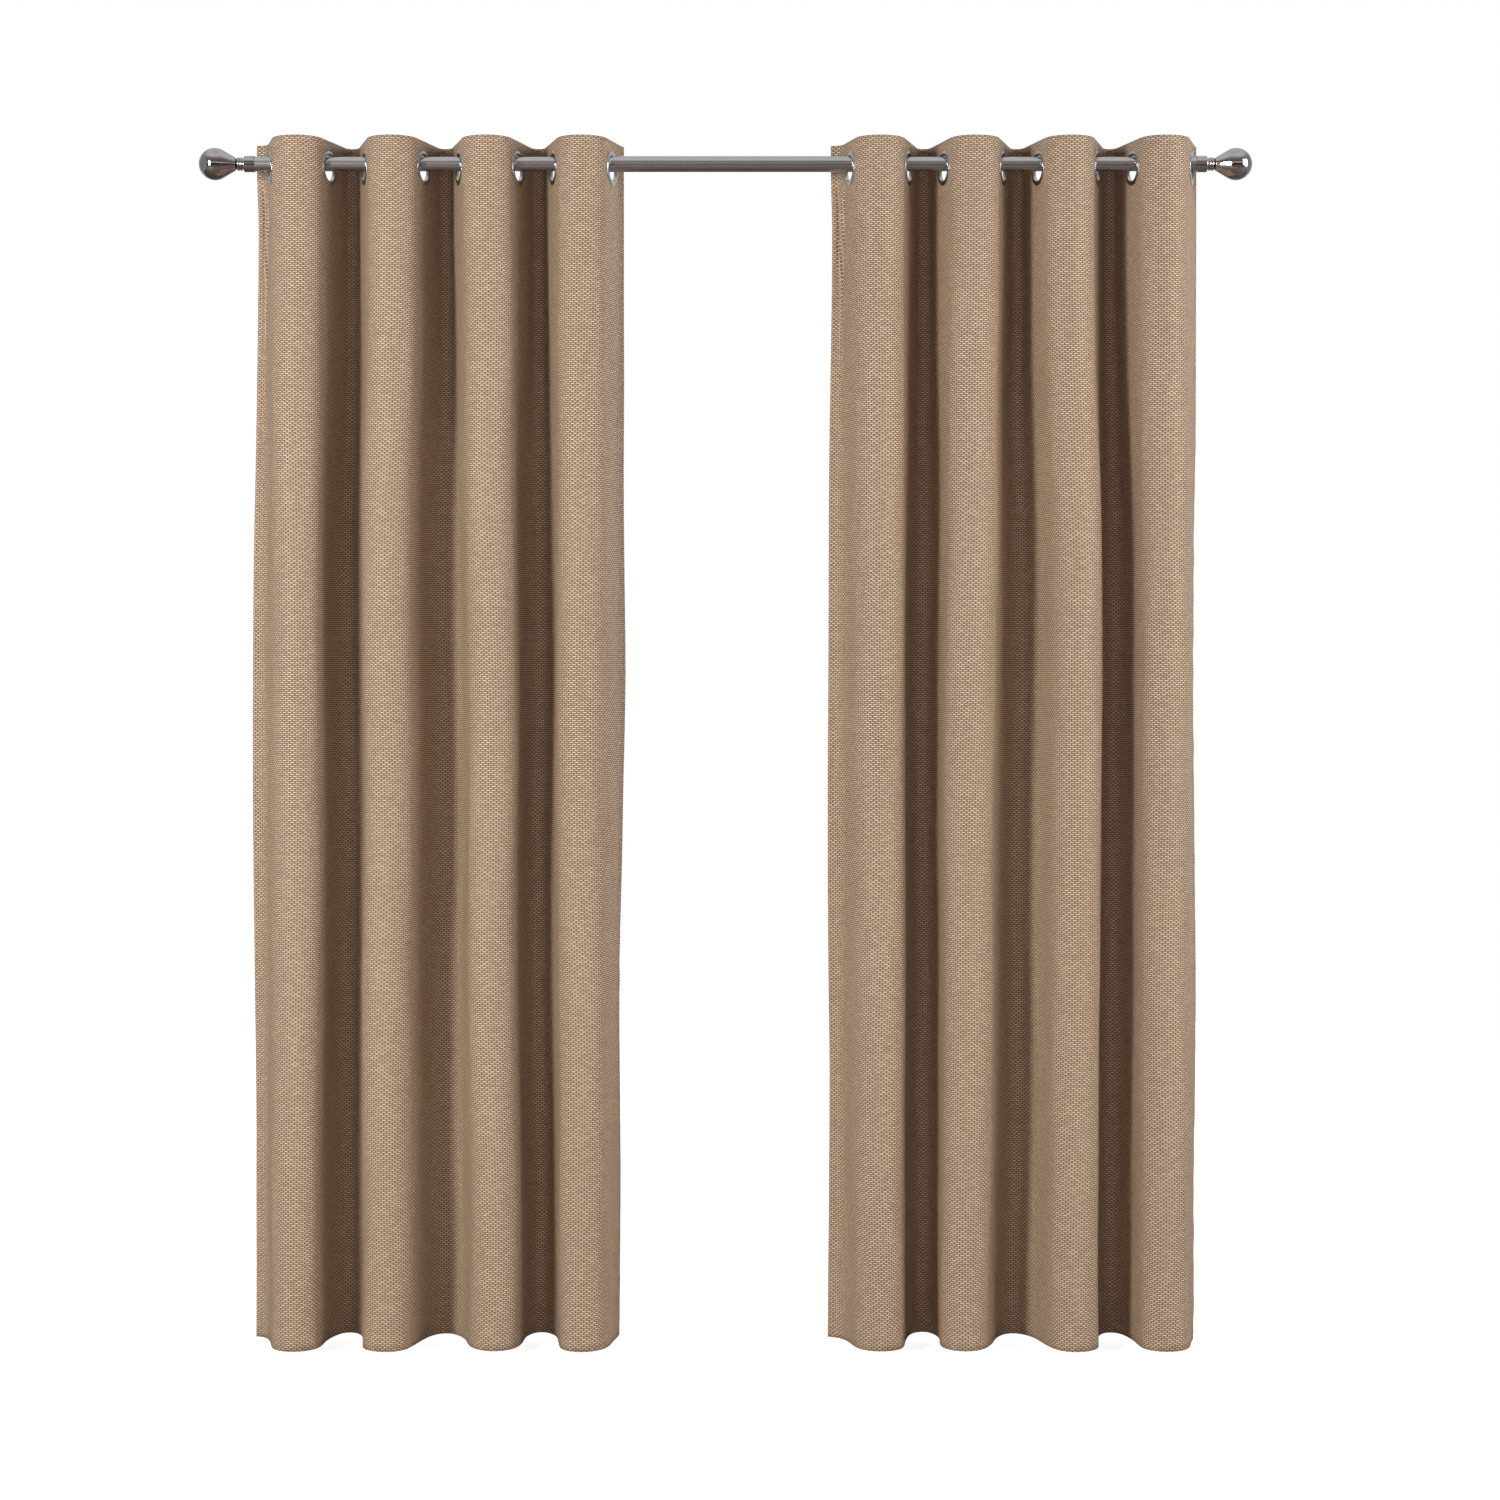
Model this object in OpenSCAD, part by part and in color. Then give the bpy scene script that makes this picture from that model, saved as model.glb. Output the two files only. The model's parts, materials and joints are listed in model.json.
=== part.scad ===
// A pair of eyelet curtains on a telescopic pole, with two wall brackets and turned finials.
// Origin: middle of the four wall screws, on the wall. +X right, -Y into the room, +Z up.

/* [Pole] */
// Length of the pole from finial tip to finial tip
pole_span = 1870; // [1750:5:1990]
// Outside diameter of the two sliding tubes
tube_d = 25.4; // [20:0.1:25.4]
// Wall of the sliding tubes
tube_wall = 1; // [0.8:0.1:1.5]
// Outside diameter of the middle sleeve
sleeve_d = 28; // [27.6:0.1:28.4]
// Length of the middle sleeve
sleeve_len = 532; // [440:4:640]
// Middle of the sleeve, to the right of the middle of the pole
sleeve_shift = 8; // [-20:1:20]
// Length of tube that is inside the sleeve at each end
tube_overlap = 200; // [160:5:210]
// Radial gap between the sleeve's bore and a sliding tube
slide_gap = 0.1; // [0.05:0.01:0.2]

/* [Finials] */
// Length of a finial's bulb, from the neck to the tip
bulb_len = 65.5; // [55:0.5:79]
// Largest diameter of a bulb
bulb_d = 57; // [47:0.5:68]
// Diameter of the bulb where it meets the neck
bulb_foot_d = 23; // [16:0.5:25]
// Length of the beaded neck
neck_len = 15; // [12:0.5:18]
// Diameter of the neck between its beads
neck_d = 20; // [16:0.5:22]
// Outside diameter of the collar that grips the tube
collar_d = 28.8; // [28:0.1:34]
// Length of the collar
collar_len = 19; // [16:0.5:24]
// Depth of the socket in the collar
socket_depth = 17; // [12:0.5:18]
// Diameter of the threaded stud between bulb and neck
stud_d = 8; // [6:1:10]
// Diameter of the grub screw that locks the collar on the tube
grub_d = 4; // [3:1:5]

/* [Wall brackets] */
// Distance between the two brackets
bracket_pitch = 1530; // [1500:5:1545]
// Distance from the wall to the middle of the pole
rod_reach = 95; // [92:1:120]
// Width of a wall plate
plate_w = 25; // [20:1:30]
// Height of a wall plate
plate_h = 70; // [60:1:90]
// Thickness of a wall plate
plate_t = 3; // [2.5:0.5:5]
// Distance between the two wall screws of one plate
wall_screw_pitch = 44; // [36:1:50]
// Diameter of the wall screw holes
wall_hole_d = 5.2; // [4:0.1:6]
// Diameter of the bracket arm
arm_d = 12; // [10:0.5:16]
// Diameter of the screw that fixes the arm to its plate
arm_screw_d = 6; // [5:1:6]
// Width of the cradle along the pole
cradle_w = 18; // [14:1:22]
// Wall of the cradle
cradle_wall = 3.5; // [3:0.1:5]
// Radial gap between the cradle and the tube
cradle_gap = 0.35; // [0.3:0.05:1]
// Diameter of the thumb screw
thumb_screw_d = 5; // [4:1:6]
// Diameter of the thumb screw's knob
thumb_knob_d = 14; // [12:1:20]

/* [Curtains] */
// Flat width of one curtain
panel_w = 1372; // [1340:2:1680]
// Height of a curtain from top edge to hem
panel_h = 2134; // [1370:2:2750]
// Eyelet rings in one curtain
ring_count = 8; // [8]
// Cloth from a side edge to the nearest ring's middle
side_margin = 63; // [55:1:70]
// Thickness of the cloth
cloth_t = 1.2; // [0.8:0.1:1.5]
// Thickness of the stiff band behind the top of the cloth
band_t = 0.8; // [0.5:0.1:1.2]
// Height of the stiff band
band_h = 90; // [84:1:120]
// Cloth above the ring's middle
top_margin = 48.3; // [42:0.1:60]
// Distance across a front fold, between the rings at its two sides
front_gap = 102; // [96:1:106]
// Distance across a back fold, between the rings at its two sides
back_gap = 65.5; // [62:0.5:69]
// Radius of the cloth round a back fold
back_radius = 13.6; // [9:0.1:15]
// Place of the left curtain's first ring
left_first_x = -807; // [-809:1:-805]
// Place of the right curtain's first ring
right_first_x = 221.6; // [218:0.1:225]
// Turn of a curtain's left edge away from the flank at its first ring
left_edge_turn = 45; // [20:1:50]
// Turn of a curtain's right edge away from the flank at its last ring
right_edge_turn = 6; // [2:1:20]

/* [Eyelet rings] */
// Inside diameter of a ring
ring_bore_d = 44; // [41:0.5:45]
// Outside diameter of a ring
ring_d = 61; // [58:0.5:62]
// Wall of the ring's barrel
barrel_wall = 1.5; // [1:0.1:2]
// Thickness of the front ring's flange
front_flange_t = 2.4; // [2:0.1:3]
// Thickness of the back ring's flange
back_flange_t = 2; // [1.5:0.1:3]
// Gap between the ring's barrel and the hole in the cloth
cloth_hole_gap = 0.3; // [0.2:0.1:1]
// Gap between a ring's flange and the cloth or band that it grips
grip_gap = 0.05; // [0.02:0.01:0.1]
// Gap between the sleeve and the ring that hangs on it
hang_gap = 0.3; // [0.2:0.1:0.5]

/* [Hidden] */
SIDES = ["left", "right"];

fine = 96;                  // facets of the drawn circles
eps = 0.01;                 // overshoot of cuts

// Colours of the finishes
NICKEL = "#8f8883";
CHROME = "#b9b6b4";
STEEL = "#77726f";
CLOTH = "#a3876a";
BAND = "#cbbba2";

// Pole
rod_y = -rod_reach;
tube_r = tube_d / 2;
sleeve_bore_r = tube_r + slide_gap;
sleeve_left = sleeve_shift - sleeve_len / 2;
sleeve_right = sleeve_shift + sleeve_len / 2;
finial_len = bulb_len + neck_len + collar_len;
collar_x = pole_span / 2 - finial_len;      // rod end of a collar
neck_x = collar_x + collar_len;
bulb_x = neck_x + neck_len;
tube_end_gap = 0.2;                         // tube end to the bottom of its socket
tube_end_x = collar_x + socket_depth - tube_end_gap;
socket_gap = 0.05;                          // radial gap of the tube in its collar
socket_r = tube_r + socket_gap;

// Finial
stud_in_neck = 10;
stud_in_bulb = 16;
stud_gap = 0.2;                             // stud ends to the bottoms of their holes
thread_gap = 0.05;                          // radial gap of a thread in its tapped hole
grub_inset = 9;                             // grub screw to the collar's rod end
grub_sink = 0.4;                            // grub screw's head below the collar's surface
bead_t = 4;                                 // thickness of a bead's round
bead_d = neck_d + 4;                        // bead's outside diameter

// Bracket
cradle_r = tube_r + cradle_gap;
cradle_out_r = cradle_r + cradle_wall;
cradle_lip = 4;                             // straight sides above the pole's middle
wall_hole_fn = 48;
screw_gap = 0.1;                            // radial gap round a screw in a plain hole
countersink_r = arm_screw_d / 2 + 2.4;
countersink_h = 2.4;
arm_screw_len = 16;
thumb_knob_h = 6;
thumb_neck = 3;                             // bare shank between knob and cradle
thumb_scallops = 8;
rod_touch = 0.1;                            // tip of a locking screw to the tube

// Rings
ring_r = ring_d / 2;
bore_r = ring_bore_d / 2;
barrel_r = bore_r + barrel_wall;
ring_z = sleeve_d / 2 + hang_gap - bore_r;
flange_round = 0.8;                         // rounding of the flange's outer edge
front_seat = -cloth_t - grip_gap;           // back face of the front ring's flange
back_seat = band_t + grip_gap;              // front face of the back ring's flange
crown_y = front_seat - front_flange_t;
barrel_back = back_seat + back_flange_t;
cloth_hole_r = barrel_r + cloth_hole_gap;

// Cloth: its path starts at the left edge and runs to the right, front side on the right hand
ring_pitch = (panel_w - 2 * side_margin) / (ring_count - 1);
cloth_top = ring_z + top_margin;
cloth_bottom = cloth_top - panel_h;
edge_flat = ring_r + 2;                     // flat cloth from the end ring to the edge's curl
arc_step = 12;                              // degrees between the points of a curve

// Width that a fold takes when each of its flanks stands at angle a from the pole
function fold_width(a, r) = ring_pitch * cos(a) + 2 * r * (sin(a) - a * PI / 180 * cos(a));
function flank_for(gap, r, low, high, n) =
    let (mid = (low + high) / 2)
    n == 0 ? mid
    : fold_width(mid, r) > gap ? flank_for(gap, r, mid, high, n - 1)
    : flank_for(gap, r, low, mid, n - 1);
flank = flank_for(back_gap, back_radius, 40, 89, 40);
front_radius = (front_gap - ring_pitch * cos(flank)) / (2 * (sin(flank) - flank * PI / 180 * cos(flank)));
front_bend = 2 * flank * PI / 180 * front_radius;
back_bend = 2 * flank * PI / 180 * back_radius;
front_flat = (ring_pitch - front_bend) / 2;
back_flat = (ring_pitch - back_bend) / 2;
edge_curl = side_margin - edge_flat;

function even(k) = k % 2 == 0;
function ring_x(first, k) = first + floor(k / 2) * front_gap + floor((k - 1) / 2) * back_gap;
function ring_turn(k) = even(k) ? flank : -flank;

// A run of cloth is [length, turn]; a place on the path is [point, heading]
function after(place, run) =
    let (h = place[1], turn = run[1], r = turn == 0 ? 0 : run[0] * 180 / (PI * turn))
    [place[0] + (turn == 0 ? run[0] * [cos(h), sin(h)]
                 : r * [sin(h + turn) - sin(h), cos(h) - cos(h + turn)]), h + turn];
function steps(run) = max(1, ceil(abs(run[1]) / arc_step));
function along(place, run) = [for (i = [1 : steps(run)]) after(place, run * i / steps(run))];
function walk(place, runs, i = 0) =
    i == len(runs) ? []
    : concat(along(place, runs[i]), walk(after(place, runs[i]), runs, i + 1));
function fold_runs(k) =
    even(k) ? [[back_flat, 0], [back_bend, -2 * flank], [back_flat, 0]]
    : [[front_flat, 0], [front_bend, 2 * flank], [front_flat, 0]];
runs_from_first = concat(
    [for (k = [1 : ring_count - 1]) each fold_runs(k)],
    [[edge_flat, 0], [edge_curl, -right_edge_turn]]
);
edge_runs = [[edge_curl, -left_edge_turn], [edge_flat, 0]];
edge_start = [[0, 0], left_edge_turn - flank];
edge_places = walk(edge_start, edge_runs);
edge_reach = edge_places[len(edge_places) - 1][0];

// Every place of a curtain's path, from the left edge on
function cloth_path(first) =
    let (start = [[first, rod_y] - edge_reach, edge_start[1]])
    concat([start], walk(start, concat(edge_runs, runs_from_first)));
function beside(place, d) = place[0] + d * [-sin(place[1]), cos(place[1])];

// A sheet that stands on the path, between two distances behind it
module sheet(first, near, far, low, high) {
    path = cloth_path(first);
    last = len(path) - 1;
    outline = concat(
        [for (p = path) beside(p, near)],
        [for (i = [last : -1 : 0]) beside(path[i], far)]
    );
    difference() {
        translate([0, 0, low]) linear_extrude(height = high - low) polygon(outline);
        for (k = [1 : ring_count]) at_ring(first, k)
            rotate([90, 0, 0]) cylinder(r = cloth_hole_r, h = 12, center = true, $fn = fine);
    }
}

module at_ring(first, k) {
    translate([ring_x(first, k), rod_y, ring_z]) rotate([0, 0, ring_turn(k)]) children();
}

function first_x(side) = side == "left" ? left_first_x : right_first_x;

module curtain(side) {
    color(CLOTH) sheet(first_x(side), -cloth_t, 0, cloth_bottom, cloth_top);
}

module header_band(side) {
    color(BAND) sheet(first_x(side), 0, band_t, cloth_top - band_h, cloth_top);
}

// A turned shape about the Y axis, from an outline of [radius, distance to the back]
module turned_y(outline) {
    rotate([-90, 0, 0]) rotate_extrude($fn = fine) polygon(outline);
}

module ring_front(side, k) {
    crown = front_flange_t * 0.45;
    color(NICKEL) at_ring(first_x(side), k) turned_y([
        [bore_r, barrel_back],
        [bore_r, crown_y + crown],
        [bore_r + crown, crown_y],
        [ring_r - 3 * flange_round, crown_y],
        [ring_r - flange_round, crown_y + flange_round],
        [ring_r, front_seat - flange_round],
        [ring_r, front_seat],
        [barrel_r, front_seat],
        [barrel_r, barrel_back]
    ]);
}

module ring_back(side, k) {
    color(NICKEL) at_ring(first_x(side), k) turned_y([
        [barrel_r, back_seat],
        [ring_r, back_seat],
        [ring_r, barrel_back - flange_round],
        [ring_r - flange_round, barrel_back],
        [barrel_r, barrel_back]
    ]);
}

// The right half is drawn as modelled and the left half is its mirror
module on_side(side) {
    if (side == "left") mirror([1, 0, 0]) children();
    else children();
}

module at_rod(x = 0) {
    translate([x, rod_y, 0]) rotate([0, 90, 0]) children();
}

module pole_sleeve() {
    color(STEEL) at_rod(sleeve_left) difference() {
        cylinder(d = sleeve_d, h = sleeve_len, $fn = fine);
        translate([0, 0, -eps]) cylinder(r = sleeve_bore_r, h = sleeve_len + 2 * eps, $fn = fine);
    }
}

// Inner end of a tube, measured from the middle of the pole towards its own side
function tube_start(side) = (side == "left" ? -sleeve_left : sleeve_right) - tube_overlap;

module pole_tube(side) {
    start = tube_start(side);
    length = tube_end_x - start;
    color(STEEL) on_side(side) at_rod(start) difference() {
        cylinder(d = tube_d, h = length, $fn = fine);
        translate([0, 0, -eps])
            cylinder(r = tube_r - tube_wall, h = length + 2 * eps, $fn = fine);
    }
}

module finial_neck(side) {
    spacing = neck_len / 3;
    color(CHROME) on_side(side) difference() {
        union() {
            at_rod(collar_x) cylinder(d = collar_d, h = collar_len, $fn = fine);
            at_rod(neck_x) cylinder(d = neck_d, h = neck_len, $fn = fine);
            for (i = [1 : 2]) at_rod(neck_x + i * spacing)
                rotate_extrude($fn = fine)
                    translate([(bead_d - bead_t) / 2, 0]) circle(d = bead_t, $fn = 32);
        }
        at_rod(collar_x - eps) cylinder(r = socket_r, h = socket_depth + eps, $fn = fine);
        at_rod(bulb_x - stud_in_neck)
            cylinder(r = stud_d / 2 + thread_gap, h = stud_in_neck + eps, $fn = fine);
        translate([collar_x + grub_inset, rod_y, -collar_d])
            cylinder(r = grub_d / 2 + thread_gap, h = collar_d, $fn = wall_hole_fn);
    }
}

// Bulb: a ball towards the tip, drawn down to the foot by a straight taper that touches the ball
module finial_bulb(side) {
    ball_r = bulb_d / 2;
    ball_z = bulb_len - ball_r;
    foot_r = bulb_foot_d / 2;
    reach = sqrt(ball_z * ball_z + foot_r * foot_r);
    touch = acos(ball_r / reach) + atan2(foot_r, ball_z);
    outline = concat(
        [[0, 0], [foot_r, 0]],
        [for (i = [0 : 24])
            let (a = touch + (180 - touch) * i / 24)
            [i == 24 ? 0 : ball_r * sin(a), ball_z - ball_r * cos(a)]]
    );
    color(CHROME) on_side(side) difference() {
        at_rod(bulb_x) rotate_extrude($fn = fine) polygon(outline);
        at_rod(bulb_x - eps)
            cylinder(r = stud_d / 2 + thread_gap, h = stud_in_bulb + eps, $fn = fine);
    }
}

module finial_stud(side) {
    color(STEEL) on_side(side) at_rod(bulb_x - stud_in_neck + stud_gap)
        cylinder(d = stud_d, h = stud_in_neck + stud_in_bulb - 2 * stud_gap, $fn = fine);
}

module finial_grub_screw(side) {
    low = -collar_d / 2 + grub_sink;
    socket_w = grub_d * 0.5;
    color(STEEL) on_side(side) translate([collar_x + grub_inset, rod_y, low]) difference() {
        cylinder(d = grub_d, h = -tube_r - rod_touch - low, $fn = wall_hole_fn);
        translate([0, 0, -eps]) cylinder(d = socket_w, h = 0.8, $fn = 6);
    }
}

// Plate: an oblong with round ends, flat on the wall
module wall_plate(side) {
    end_r = plate_w / 2;
    color(NICKEL) on_side(side) translate([bracket_pitch / 2, 0, 0]) rotate([90, 0, 0]) difference() {
        union() {
            for (z = [-1, 1]) translate([0, z * (plate_h / 2 - end_r), 0])
                cylinder(r = end_r, h = plate_t, $fn = fine);
            translate([-end_r, end_r - plate_h / 2, 0])
                cube([plate_w, plate_h - plate_w, plate_t]);
        }
        for (z = [-1, 1]) translate([0, z * wall_screw_pitch / 2, -eps])
            cylinder(d = wall_hole_d, h = plate_t + 2 * eps, $fn = wall_hole_fn);
        translate([0, 0, -eps])
            cylinder(r = arm_screw_d / 2 + screw_gap, h = plate_t + 2 * eps, $fn = wall_hole_fn);
        translate([0, 0, -eps]) cylinder(
            r1 = countersink_r + screw_gap, r2 = arm_screw_d / 2 + screw_gap,
            h = countersink_h, $fn = wall_hole_fn);
    }
}

module arm_screw(side) {
    color(STEEL) on_side(side) translate([bracket_pitch / 2, 0, 0]) rotate([90, 0, 0]) {
        translate([0, 0, 0.1])
            cylinder(
                r1 = countersink_r - 0.1, r2 = arm_screw_d / 2,
                h = countersink_h - 0.1, $fn = wall_hole_fn);
        translate([0, 0, countersink_h - eps])
            cylinder(d = arm_screw_d, h = arm_screw_len - countersink_h, $fn = wall_hole_fn);
    }
}

// Arm: a round bar that ends in a cradle open at the top
module bracket_arm(side) {
    color(NICKEL) on_side(side) translate([bracket_pitch / 2, 0, 0]) difference() {
        union() {
            translate([0, -plate_t, 0]) rotate([90, 0, 0])
                cylinder(d = arm_d, h = rod_reach - cradle_r - plate_t, $fn = fine);
            translate([-cradle_w / 2, rod_y, 0]) rotate([0, 90, 0])
                cylinder(r = cradle_out_r, h = cradle_w, $fn = fine);
            translate([-cradle_w / 2, rod_y - cradle_out_r, 0])
                cube([cradle_w, 2 * cradle_out_r, cradle_lip]);
        }
        translate([-cradle_w / 2 - eps, rod_y, 0]) rotate([0, 90, 0])
            cylinder(r = cradle_r, h = cradle_w + 2 * eps, $fn = fine);
        translate([-cradle_w / 2 - eps, rod_y - cradle_r, 0])
            cube([cradle_w + 2 * eps, 2 * cradle_r, cradle_out_r + eps]);
        translate([-cradle_w / 2 - eps, rod_y - cradle_out_r - eps, cradle_lip])
            cube([cradle_w + 2 * eps, 2 * cradle_out_r + 2 * eps, cradle_out_r]);
        translate([0, -plate_t + eps, 0]) rotate([90, 0, 0])
            cylinder(d = arm_screw_d, h = arm_screw_len, $fn = wall_hole_fn);
        translate([0, rod_y, -cradle_out_r - 1])
            cylinder(r = thumb_screw_d / 2 + thread_gap, h = cradle_out_r, $fn = wall_hole_fn);
    }
}

module thumb_screw(side) {
    tip = -tube_r - rod_touch;
    knob_top = -cradle_out_r - thumb_neck;
    color(NICKEL) on_side(side) translate([bracket_pitch / 2, rod_y, 0]) {
        translate([0, 0, knob_top - eps])
            cylinder(d = thumb_screw_d, h = tip - knob_top + eps, $fn = wall_hole_fn);
        translate([0, 0, knob_top - thumb_knob_h]) difference() {
            cylinder(d = thumb_knob_d, h = thumb_knob_h, $fn = fine);
            for (i = [1 : thumb_scallops]) rotate([0, 0, i * 360 / thumb_scallops])
                translate([thumb_knob_d / 2 + 0.6, 0, -eps])
                    cylinder(r = 1.6, h = thumb_knob_h + 2 * eps, $fn = 24);
        }
    }
}

for (s = SIDES) {
    wall_plate(s);
    bracket_arm(s);
    arm_screw(s);
    thumb_screw(s);
    pole_tube(s);
    finial_neck(s);
    finial_bulb(s);
    finial_stud(s);
    finial_grub_screw(s);
    curtain(s);
    header_band(s);
    for (k = [1 : ring_count]) {
        ring_front(s, k);
        ring_back(s, k);
    }
}
pole_sleeve();
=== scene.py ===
import json
import math

import bmesh
import bpy
import numpy as np
from mathutils import Matrix, Vector


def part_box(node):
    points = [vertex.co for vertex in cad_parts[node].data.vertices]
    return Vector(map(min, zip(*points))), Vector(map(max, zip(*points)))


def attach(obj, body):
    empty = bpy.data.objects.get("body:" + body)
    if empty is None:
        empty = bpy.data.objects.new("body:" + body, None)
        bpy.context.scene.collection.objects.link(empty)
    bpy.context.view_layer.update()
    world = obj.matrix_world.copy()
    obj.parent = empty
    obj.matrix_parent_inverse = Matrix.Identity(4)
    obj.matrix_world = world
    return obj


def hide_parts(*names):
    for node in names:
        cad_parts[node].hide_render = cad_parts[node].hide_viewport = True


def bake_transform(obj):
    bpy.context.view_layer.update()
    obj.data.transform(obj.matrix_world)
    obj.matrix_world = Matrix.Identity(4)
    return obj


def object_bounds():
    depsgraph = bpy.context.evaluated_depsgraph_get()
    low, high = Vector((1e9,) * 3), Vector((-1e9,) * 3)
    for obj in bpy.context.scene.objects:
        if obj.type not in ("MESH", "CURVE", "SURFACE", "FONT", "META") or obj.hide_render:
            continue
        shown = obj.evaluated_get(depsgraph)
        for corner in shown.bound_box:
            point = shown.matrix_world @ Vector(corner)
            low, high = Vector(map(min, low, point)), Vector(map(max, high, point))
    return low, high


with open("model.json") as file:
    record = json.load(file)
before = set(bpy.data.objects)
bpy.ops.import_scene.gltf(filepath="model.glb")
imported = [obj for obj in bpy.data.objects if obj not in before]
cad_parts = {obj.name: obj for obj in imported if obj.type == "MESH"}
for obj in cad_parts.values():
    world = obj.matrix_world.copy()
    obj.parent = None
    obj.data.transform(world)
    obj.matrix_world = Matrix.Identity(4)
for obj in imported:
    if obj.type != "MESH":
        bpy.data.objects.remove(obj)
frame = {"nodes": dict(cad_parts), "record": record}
cad_low, cad_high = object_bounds()
nodes = frame["nodes"]
SIDES = ("left", "right")

# ---------------------------------------------------------------------------------------------
# Room and light: a white studio with a pale matt floor just under the hems. One large soft light
# stands to the left and weaker ones to the right, so that round folds catch an upright band each.

rod_low, rod_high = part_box("pole_sleeve")
rod_y = (rod_low.y + rod_high.y) / 2

EYE_BACK = 4.95  # camera to the pole
EYE_SIDE = 0.0435
EYE_HEIGHT = -0.874  # from the pole
FRAME_MIDDLE = -1.0404  # height of the middle of the view
LENS_MM = 66.9
SENSOR_MM = 36
FLOOR_GAP = 0.012  # hem to the floor
FLOOR_R = 4.6
FLOOR_SEGMENTS = 96
FLOOR_SEEN = 0.86  # glow that the eye sees, so that floor and sky meet in the same white
WHITE = "#ffffff"


def paint(code):
    """An sRGB hex colour as linear red, green, blue and alpha."""
    parts = [int(code[i : i + 2], 16) / 255 for i in (1, 3, 5)]
    return [c / 12.92 if c <= 0.04045 else ((c + 0.055) / 1.055) ** 2.4 for c in parts] + [1.0]


def add_node(tree, kind, values=None, links=None, **settings):
    """Adds a node, sets its own settings and its input values, and links sockets into its inputs."""
    made = tree.nodes.new(kind)
    for name, value in settings.items():
        setattr(made, name, value)
    for name, value in (values or {}).items():
        made.inputs[name].default_value = value
    for name, socket in (links or {}).items():
        tree.links.new(socket, made.inputs[name])
    return made


def set_stops(ramp, stops):
    """Sets a colour ramp's stops from (place, hex) pairs in order."""
    bar = ramp.color_ramp
    while len(bar.elements) < len(stops):
        bar.elements.new(0.5)
    for element, (place, code) in zip(bar.elements, stops):
        element.position = place
        element.color = paint(code)


def start_material(name):
    """A new material with only an output and a Principled shader, and those three."""
    made = bpy.data.materials.new(name)
    made.use_nodes = True
    made.node_tree.nodes.clear()
    shader = add_node(made.node_tree, "ShaderNodeBsdfPrincipled")
    add_node(made.node_tree, "ShaderNodeOutputMaterial", links={"Surface": shader.outputs["BSDF"]})
    return made, made.node_tree, shader


scene = bpy.context.scene
camera = bpy.data.objects.new("camera", bpy.data.cameras.new("camera"))
camera.data.lens = LENS_MM
camera.data.sensor_width = SENSOR_MM
camera.data.shift_y = (FRAME_MIDDLE - EYE_HEIGHT) / EYE_BACK * LENS_MM / SENSOR_MM
camera.location = (EYE_SIDE, rod_y - EYE_BACK, EYE_HEIGHT)
camera.rotation_euler = (math.radians(90), 0, 0)
scene.collection.objects.link(camera)
scene.camera = camera
scene.view_settings.view_transform = "Standard"

# The sky is white where it is seen, dim where it lights cloth, and banded where metal mirrors it.
# A ramp runs from straight down (0) through the horizon (0.5) to straight up (1).
sky = bpy.data.worlds.new("studio")
scene.world = sky
sky.use_nodes = True
tree = sky.node_tree
tree.nodes.clear()
ray = add_node(tree, "ShaderNodeLightPath")
way = add_node(tree, "ShaderNodeTexCoord")
split = add_node(tree, "ShaderNodeSeparateXYZ", links={"Vector": way.outputs["Generated"]})
height = add_node(
    tree, "ShaderNodeMapRange", {"From Min": -1.0, "From Max": 1.0}, {"Value": split.outputs["Z"]}
)
bands = add_node(tree, "ShaderNodeValToRGB", links={"Fac": height.outputs["Result"]})
set_stops(
    bands,
    [(0.0, "#a8a3a0"), (0.24, "#958f8c"), (0.38, "#5b4a45"), (0.49, "#33251f"), (0.525, "#dcd9d7"),
     (0.555, "#dcd9d7"), (0.60, "#625c5b"), (0.78, "#8f8a88"), (0.92, "#f4f3f2"), (1.0, "#dddbda")],
)
# Metal also mirrors a pale wall behind the pole and a grey-green one far out to each side.
behind = add_node(
    tree, "ShaderNodeMapRange", {"From Min": 0.3, "From Max": 0.75}, {"Value": split.outputs["Y"]}
)
around = add_node(
    tree, "ShaderNodeMix", links={0: behind.outputs["Result"], 6: bands.outputs["Color"]},
    data_type="RGBA",
)
around.inputs[7].default_value = paint("#cdd1d5")
beside = add_node(tree, "ShaderNodeMath", links={0: split.outputs["X"]}, operation="ABSOLUTE")
edge_on = add_node(
    tree, "ShaderNodeMapRange", {"From Min": 0.74, "From Max": 0.78}, {"Value": beside.outputs[0]}
)
room = add_node(
    tree, "ShaderNodeMix", links={0: edge_on.outputs["Result"], 6: around.outputs[2]}, data_type="RGBA"
)
room.inputs[7].default_value = paint("#9ca5a2")
seen = add_node(tree, "ShaderNodeBackground", {"Color": paint(WHITE), "Strength": 1.0})
mirrored = add_node(tree, "ShaderNodeBackground", {"Strength": 1.0}, {"Color": room.outputs[2]})
dome = add_node(tree, "ShaderNodeValToRGB", links={"Fac": height.outputs["Result"]})
set_stops(dome, [(0.0, "#fff0f8"), (0.5, "#ffdcea"), (0.6, "#a39096"), (0.74, "#3f3838"), (1.0, "#1f1c1c")])
lighting = add_node(tree, "ShaderNodeBackground", {"Strength": 0.50}, {"Color": dome.outputs["Color"]})
either = add_node(
    tree, "ShaderNodeMixShader",
    links={0: ray.outputs["Is Glossy Ray"], 1: lighting.outputs[0], 2: mirrored.outputs[0]},
)
whole = add_node(
    tree, "ShaderNodeMixShader",
    links={0: ray.outputs["Is Camera Ray"], 1: either.outputs[0], 2: seen.outputs[0]},
)
add_node(tree, "ShaderNodeOutputWorld", links={"Surface": whole.outputs[0]})


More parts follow.
